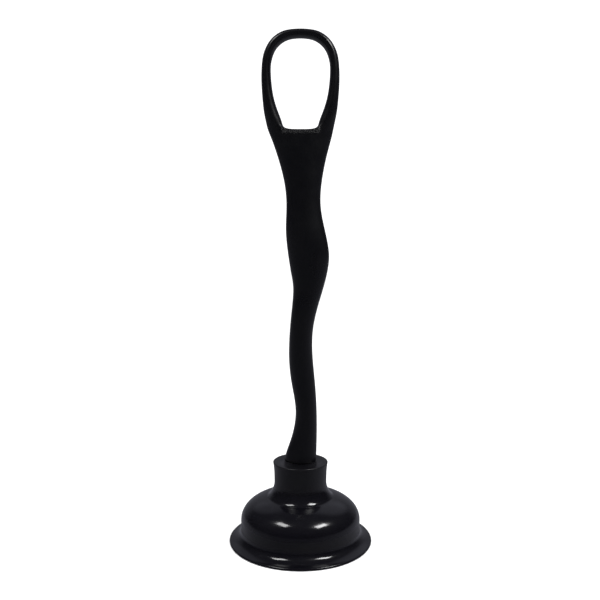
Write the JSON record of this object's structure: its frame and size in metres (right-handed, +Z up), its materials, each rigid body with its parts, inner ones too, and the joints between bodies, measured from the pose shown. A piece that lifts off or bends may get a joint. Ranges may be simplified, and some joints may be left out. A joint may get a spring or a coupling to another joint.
{
  "type": "sink plunger",
  "caption": "Sink plunger: a rubber suction cup with a flat sealing lip on a wavy moulded handle that ends in a long hanging loop.",
  "frame": {"origin": "middle of the cup lip's flat underside, where the plunger stands", "axes": "+Z up the handle, +X across the hanging loop, -Y out of the front"},
  "size_m": [0.102, 0.102, 0.3589],
  "materials": {
    "black_rubber": "glossy",
    "black_plastic": "satin"
  },
  "bodies": {
    "rim": {"cup_rim": "black_rubber"},
    "collar": {"cup_collar": "black_rubber", "cup_dome": "black_rubber"},
    "spigot": {"threaded_spigot": "black_plastic"},
    "handle": {"handle": "black_plastic"}
  },
  "joints": [
    {"name": "plunge", "type": "slide", "parent": "rim", "child": "collar", "axis": [0, 0, -1], "range_m": [0, 0.018], "stiffness_N_per_m": 2500, "springref_m": -0.0015, "deforming": ["cup_dome"]},
    {"name": "unscrew_rise", "type": "slide", "parent": "collar", "child": "spigot", "axis": [0, 0, 1], "range_m": [0, 0.027]},
    {"name": "unscrew_turn", "type": "hinge", "parent": "spigot", "child": "handle", "pos_m": [0, 0, 0.0577], "axis": [0, 0, 1], "range_deg": [0, 1620]}
  ],
  "couplings": [
    {"joint": "unscrew_rise", "follows": "unscrew_turn", "m_per_rad": 0.00095492}
  ]
}
